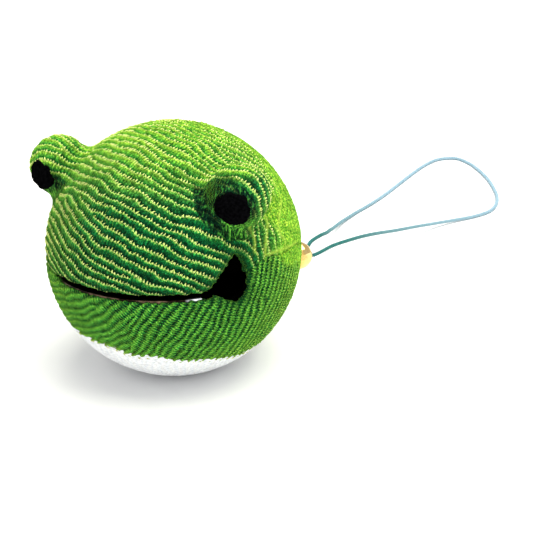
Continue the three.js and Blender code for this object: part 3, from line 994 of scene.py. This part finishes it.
def crepe_material(name, colours, lit_colours, dark, sheen, slant, comb, hatch_share, depth=1.0):
    """Crinkled crepe: colour by the ridge's section, a painted highlight on the crest and painted shade in
    the valley, with dashes and a comb of threads across it.
    """
    made, tree, shader = material(name)
    place = node(tree, "ShaderNodeUVMap", uv_map="weave")
    split = node(tree, "ShaderNodeSeparateXYZ")
    tree.links.new(place.outputs[0], split.inputs[0])
    mottle = grain(tree, 2300, 2.0)
    fine = grain(tree, 4300, 2.0)
    patches = grain(tree, 420, 3.0, 0.35, 0.65)

    across = maths(tree, "ADD", split.outputs[1], times(tree, mottle, 0.25))
    saw = maths(tree, "SUBTRACT", maths(tree, "FRACT", across), 0.5)
    shift = maths(tree, "ADD", times(tree, saw, slant), times(tree, fine, 0.10))
    turns = maths(tree, "FRACT", maths(tree, "ADD", split.outputs[0], shift))
    deep_colour = ramp(tree, turns, colours).outputs[0]
    # Painted light: a lit copy of the ridge colours is mixed in on top and towards the sides
    lit_colour = ramp(tree, turns, lit_colours).outputs[0]
    colour = mix(tree, attribute(tree, "painted_light"), deep_colour, lit_colour)

    thread = maths(tree, "COSINE", times(tree, across, 2 * np.pi))
    thread = maths(tree, "ADD", times(tree, thread, 0.5), 0.5)
    gap = ramp(tree, thread, [(0.1, (1, 1, 1)), (0.5, (0, 0, 0))]).outputs[0]
    colour = mix(tree, times(tree, times(tree, gap, mottle), hatch_share), colour, dark)
    double = maths(tree, "ADD", times(tree, across, 4 * np.pi), times(tree, patches, 9.0))
    nap = maths(tree, "ADD", times(tree, maths(tree, "COSINE", double), 0.5), 0.5)
    grains = [(nap, 0.6), (patches, 0.35), (mottle, 0.85), (fine, 0.7)]
    colour = shaded(tree, colour, [(value, strength * depth) for value, strength in grains])

    tree.links.new(colour, shader.inputs["Base Color"])
    set_inputs(shader, {"Roughness": 0.9, "Specular IOR Level": 0.05, "Sheen Weight": sheen[0]})
    set_inputs(shader, {"Sheen Roughness": 0.22, "Sheen Tint": (*sheen[1], 1)})
    height = maths(tree, "ADD", fine, times(tree, thread, 0.8))
    bump(tree, shader, height, 0.9 * depth, 0.00010)
    if depth < 1:
        return made

    plain_green = shaded(tree, ramp(tree, fine, PLAIN_GREEN).outputs[0], [(mottle, 0.7), (patches, 0.3)])
    colour = laid_over(tree, colour, "plain", 0.75, plain_green)

    tooth = times(tree, maths(tree, "SUBTRACT", thread, 0.55), comb)
    above_crest = maths(tree, "SUBTRACT", tooth, split_fraction(tree, split, fine))
    smooth_cloth = maths(tree, "MAXIMUM", attribute(tree, "plain"), attribute(tree, "calm"))
    open_cloth = maths(tree, "SUBTRACT", 1.0, smooth_cloth)
    tooth = times(tree, times(tree, above_crest, 22.0, clamp=True), open_cloth, clamp=True)
    colour = mix(tree, tooth, colour, TOOTH)

    # Painted shade: the calm cloth round a pupil is coloured near black
    felt = ramp(tree, strokes(tree, 3600, 0.28), FELT_SHADE).outputs[0]
    skirt = ramp(tree, strokes(tree, 3600, 0.28), SKIRT).outputs[0]
    felt = mix(tree, attribute(tree, "skirt"), felt, skirt)
    felt = shaded(tree, felt, [(fine, 0.9), (patches, 0.6)])
    colour = laid_over(tree, colour, "calm", 0.95, felt)
    # Painted highlight: the crests of the cheek's folds are coloured lime
    colour = laid_over(tree, colour, "fold", 0.75, (0.42, 0.62, 0.07))
    colour = laid_over(tree, colour, "shade", 0.75, dark)
    # Painted shade: the cloth darkened towards the mouth slot and on its turned-in rim
    colour = laid_over(tree, colour, "edge", 0.45, dark)
    if comb == 0:
        colour = laid_over(tree, colour, "fray", 0.8, (0.50, 0.42, 0.05))
    tree.links.new(colour, shader.inputs["Base Color"])
    return made


def split_fraction(tree, split, fine):
    """How far above the crest, in turns, with a little scatter."""
    scatter = times(tree, maths(tree, "SUBTRACT", fine, 0.5), 0.06)
    return maths(tree, "FRACT", maths(tree, "ADD", split.outputs[0], scatter))


def plain_material(name, colour, other, scale, roughness, metallic=0.0, depth=0.3, gloss=0.5):
    """A mottled finish with fine relief."""
    made, tree, shader = material(name)
    patch = ramp(tree, noise(tree, scale), [(0.35, colour), (0.65, other)])
    tree.links.new(patch.outputs[0], shader.inputs["Base Color"])
    set_inputs(shader, {"Roughness": roughness, "Metallic": metallic, "Specular IOR Level": gloss})
    bump(tree, shader, noise(tree, scale * 5), depth, 0.00006)
    return made


# Colours over one turn of a ridge, from its crest down and up to the next one: the cloth's green with a
# painted highlight at the crest and painted shade, near black, in the valley
GREEN = [
    (0.0, (0.50, 0.75, 0.16)),
    (0.035, (0.44, 0.69, 0.13)),
    (0.08, (0.04, 0.28, 0.04)),
    (0.14, (0.0005, 0.014, 0.005)),
    (0.34, (0.001, 0.036, 0.011)),
    (0.60, (0.003, 0.105, 0.027)),
    (0.86, (0.013, 0.22, 0.035)),
    (0.95, (0.12, 0.44, 0.06)),
    (1.0, (0.44, 0.72, 0.15)),
]
# A lit copy of GREEN, painted light for the top and sides of the ball
LIT_GREEN = [
    (0.0, (0.66, 0.85, 0.18)),
    (0.035, (0.58, 0.80, 0.14)),
    (0.08, (0.16, 0.46, 0.04)),
    (0.14, (0.004, 0.08, 0.010)),
    (0.34, (0.02, 0.21, 0.02)),
    (0.62, (0.12, 0.42, 0.03)),
    (0.86, (0.30, 0.60, 0.04)),
    (0.95, (0.46, 0.70, 0.07)),
    (1.0, (0.62, 0.84, 0.16)),
]
JAW_GREEN = [
    (0.0, (0.14, 0.46, 0.05)),
    (0.10, (0.05, 0.32, 0.035)),
    (0.20, (0.0005, 0.012, 0.005)),
    (0.42, (0.0008, 0.022, 0.009)),
    (0.60, (0.02, 0.21, 0.03)),
    (0.88, (0.12, 0.46, 0.04)),
    (1.0, (0.27, 0.68, 0.06)),
]
WHITE = [
    (0.0, (0.84, 0.85, 0.86)),
    (0.3, (0.76, 0.79, 0.83)),
    (0.7, (0.82, 0.83, 0.85)),
    (1.0, (0.85, 0.85, 0.85)),
]


def paint(made, finish):
    made.data.materials.clear()
    made.data.materials.append(finish)


HEAD_RIM = (0.12, 0.4, 0.9)
head, head_threads = crepe("head_cloth", HEAD_GUIDES, head_keep, 1.06, 0.40, 0.15, 40, HEAD_RIM)
jaw, jaw_threads = crepe("jaw_cloth", JAW_GUIDES, jaw_keep, 0.92, 0.36, 0.10, 60, (0.1, 0.3), 0.05)
belly, belly_threads = crepe("belly_cloth", BELLY_GUIDES, belly_keep, 0.9, 0.4, 0.03, 80, (), 0.02)

LIME = (0.42, 1.0, 0.08)
DARK = (0.003, 0.04, 0.008)
GREY = (0.5, 0.52, 0.55)
PALE_BLUE = (0.8, 0.9, 1)
paint(head, crepe_material("head_crepe", GREEN, LIT_GREEN, DARK, (0.35, LIME), 0.12, 0.4, 0.6))
paint(jaw, crepe_material("jaw_crepe", JAW_GREEN, LIT_GREEN, DARK, (0.6, LIME), 0.34, 0.0, 0.95))
paint(belly, crepe_material("belly_crepe", WHITE, WHITE, GREY, (0.1, PALE_BLUE), 0.1, 0.0, 0.1, 0.25))

teeth = crest_teeth("head_teeth", head_threads, 7, 0.30, 0.072)
paint(teeth, plain_material("crest_thread", (0.56, 0.74, 0.13), (0.80, 0.84, 0.30), 2500, 0.8))
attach(teeth, "head")
fray = edge_fray("jaw_fray", jaw_threads, 17)
paint(fray, plain_material("fray_thread", (0.22, 0.44, 0.05), (0.80, 0.60, 0.12), 1500, 0.8))
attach(fray, "head")

for made, node_name, slot in (
    (head, "head_cover", "crepe_green"),
    (jaw, "jaw_cover", "crepe_green"),
    (belly, "belly_patch", "crepe_white"),
):
    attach(made, "head")
    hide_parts(node_name)


# Pupils


def felt_pupil(side):
    """A felt disc laid over the bump, ragged at its rim."""
    middle = EYE[side] * EYE_DISTANCE
    look = heading(PUPIL_AZIMUTH[side], PUPIL_ELEVATION[side])
    across = unit(np.cross((0, 0, 1), look))
    up = np.cross(look, across)
    rings, spokes = 22, 96
    angle = np.arange(spokes) * 2 * np.pi / spokes
    rng = np.random.default_rng(3 if side == "left" else 4)
    wander = 1 + sum(rng.uniform(0.02, 0.05) * np.cos(k * angle + rng.uniform(0, 6)) for k in (2, 3, 5, 7))
    ragged_rim = 1 + 0.025 * rng.normal(size=spokes)
    points = []
    for i in range(rings):
        share = min(1, i / (rings - 4))
        lean = np.radians(PUPIL_HALF_ANGLE[side]) * share * wander * (ragged_rim if i > rings - 6 else 1)
        height = 0.3 * (1 - share**6) ** 0.5 if i <= rings - 4 else -0.12 * (i - rings + 4)
        radius = EYE_R + height
        out = np.cos(lean)[:, None] * look + np.sin(lean)[:, None] * (
            np.cos(angle)[:, None] * across + np.sin(angle)[:, None] * up
        )
        points.append(middle + radius * out)
    points = np.vstack(points)
    far = np.linalg.norm(points, axis=1)
    least = BALL_R + 0.05
    points *= (np.maximum(far, least) / far)[:, None]
    points += 0.035 * ripple(points, 0.3, 9)[:, None] * look
    made = new_mesh(f"felt_{side}", points + BALL, ring_faces(rings, spokes))
    black, wear_and_glint = (0.0006, 0.0006, 0.0008), (0.003, 0.003, 0.0035)
    paint(made, plain_material(f"felt_{side}", black, wear_and_glint, 3000, 1.0, depth=0.8, gloss=0.0))
    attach(made, "head")
    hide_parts(f"pupil_{side}")


for side in ("right", "left"):
    felt_pupil(side)


# Metal


LIP_FROM, LIP_TO = 15.25, 15.6  # ball centre to where the wall, painted near black as shade inside the bell, turns into the lip
GLINT_FROM, GLINT_TO = 9.6, 10.6  # where a glint is painted on the lip, towards the left corner
FADE_FROM, FADE_TO = 30, 68  # where the cord pales, behind the ball's centre


def bell_material():
    """Brass that is dull on the lips of the slot, with a painted glint near its left end and painted shade,
    near black, inside.
    """
    made, tree, shader = material("bell_brass")
    place = node(tree, "ShaderNodeTexCoord").outputs["Object"]
    from_middle = node(tree, "ShaderNodeVectorMath", operation="DISTANCE")
    tree.links.new(place, from_middle.inputs[0])
    from_middle.inputs[1].default_value = (0, 0, BALL_Z * MM)
    share = band(tree, from_middle.outputs["Value"], LIP_FROM * MM, LIP_TO * MM)
    lip = ramp(tree, noise(tree, 700), [(0.45, (0.010, 0.006, 0.004)), (0.66, (0.16, 0.11, 0.07))])
    axes = node(tree, "ShaderNodeSeparateXYZ")
    tree.links.new(place, axes.inputs[0])
    # Painted highlight: a near-white glint on the lip towards the left corner
    wear_and_glint = band(tree, axes.outputs[0], GLINT_FROM * MM, GLINT_TO * MM)
    lip = mix(tree, wear_and_glint, lip.outputs[0], (0.85, 0.9, 0.95))
    # Painted shade: the inside of the bell is near black
    inside_shade = ramp(tree, noise(tree, 500), [(0.35, (0.002, 0.0018, 0.0015)), (0.65, (0.006, 0.005, 0.004))])
    tree.links.new(mix(tree, share, inside_shade.outputs[0], lip), shader.inputs["Base Color"])
    set_inputs(shader, {"Metallic": 0.85, "Roughness": 0.35, "Specular IOR Level": 0.1})
    bump(tree, shader, noise(tree, 4000), 0.3, 0.00005)
    return made


def cord_material():
    """Twisted teal cord, paler towards the far end of its loop."""
    made, tree, shader = material("cord_teal")
    axes = node(tree, "ShaderNodeSeparateXYZ")
    tree.links.new(node(tree, "ShaderNodeTexCoord").outputs["Object"], axes.inputs[0])
    share = band(tree, axes.outputs[1], FADE_FROM * MM, FADE_TO * MM)
    near = ramp(tree, noise(tree, 4000), [(0.3, (0.005, 0.085, 0.08)), (0.7, (0.03, 0.22, 0.2))])
    far = ramp(tree, noise(tree, 4000), [(0.3, (0.20, 0.36, 0.44)), (0.7, (0.40, 0.55, 0.65))])
    colour = mix(tree, share, near.outputs[0], far.outputs[0])
    tree.links.new(colour, shader.inputs["Base Color"])
    set_inputs(shader, {"Roughness": 0.6, "Specular IOR Level": 0.3})
    bump(tree, shader, noise(tree, 4000), 0.3, 0.00005)
    return made


brass = bell_material()
teal = cord_material()
gold = plain_material("bead_brass", (0.85, 0.55, 0.15), (0.93, 0.70, 0.30), 700, 0.22, 1.0)
steel = plain_material("pellet_steel", (0.45, 0.44, 0.43), (0.6, 0.6, 0.6), 900, 0.35, 1.0)
wood = plain_material("core_wood", (0.45, 0.30, 0.15), (0.60, 0.43, 0.25), 600, 0.7)
for cad_node, finish in (
    ("bell_front_shell", brass),
    ("bell_rear_shell", brass),
    ("hanger_eye", brass),
    ("jump_ring", gold),
    ("strap_bead", gold),
    ("rattle_pellet", steel),
    ("eye_core_right", wood),
    ("eye_core_left", wood),
):
    paint(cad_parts[cad_node], finish)
paint(strap_cord, teal)


# Floor and light


def make_stage():
    mesh = bpy.data.meshes.new("floor")
    reach = 2.0
    corners = [(-reach, -reach, 0), (reach, -reach, 0), (reach, reach, 0), (-reach, reach, 0)]
    mesh.from_pydata(corners, [], [(0, 1, 2, 3)])
    floor = bpy.data.objects.new("floor", mesh)
    bpy.context.scene.collection.objects.link(floor)
    paint(floor, plain_material("floor_white", (0.93, 0.93, 0.93), (0.95, 0.95, 0.95), 3, 0.9, depth=0.0))


def area_light(name, place, power, size, colour=(1, 1, 1)):
    data = bpy.data.lights.new(name, "AREA")
    data.energy = power
    data.size = size
    data.color = colour
    lamp = bpy.data.objects.new(name, data)
    lamp.location = place
    lamp.rotation_mode = "QUATERNION"
    lamp.rotation_quaternion = (Vector((0, 0, 0.016)) - Vector(place)).to_track_quat("-Z", "Y")
    bpy.context.scene.collection.objects.link(lamp)


make_stage()
area_light("key", (0.1, 0.04, 0.5), 4.0, 0.45, (1.0, 0.98, 0.92))
area_light("fill", (0.3, -0.35, 0.2), 0.5, 0.4)
world = bpy.data.worlds.new("world")
world.use_nodes = True
world.node_tree.nodes["Background"].inputs[0].default_value = (1, 1, 1, 1)
world.node_tree.nodes["Background"].inputs[1].default_value = 0.58
bpy.context.scene.world = world
bpy.context.scene.view_settings.view_transform = "Standard"
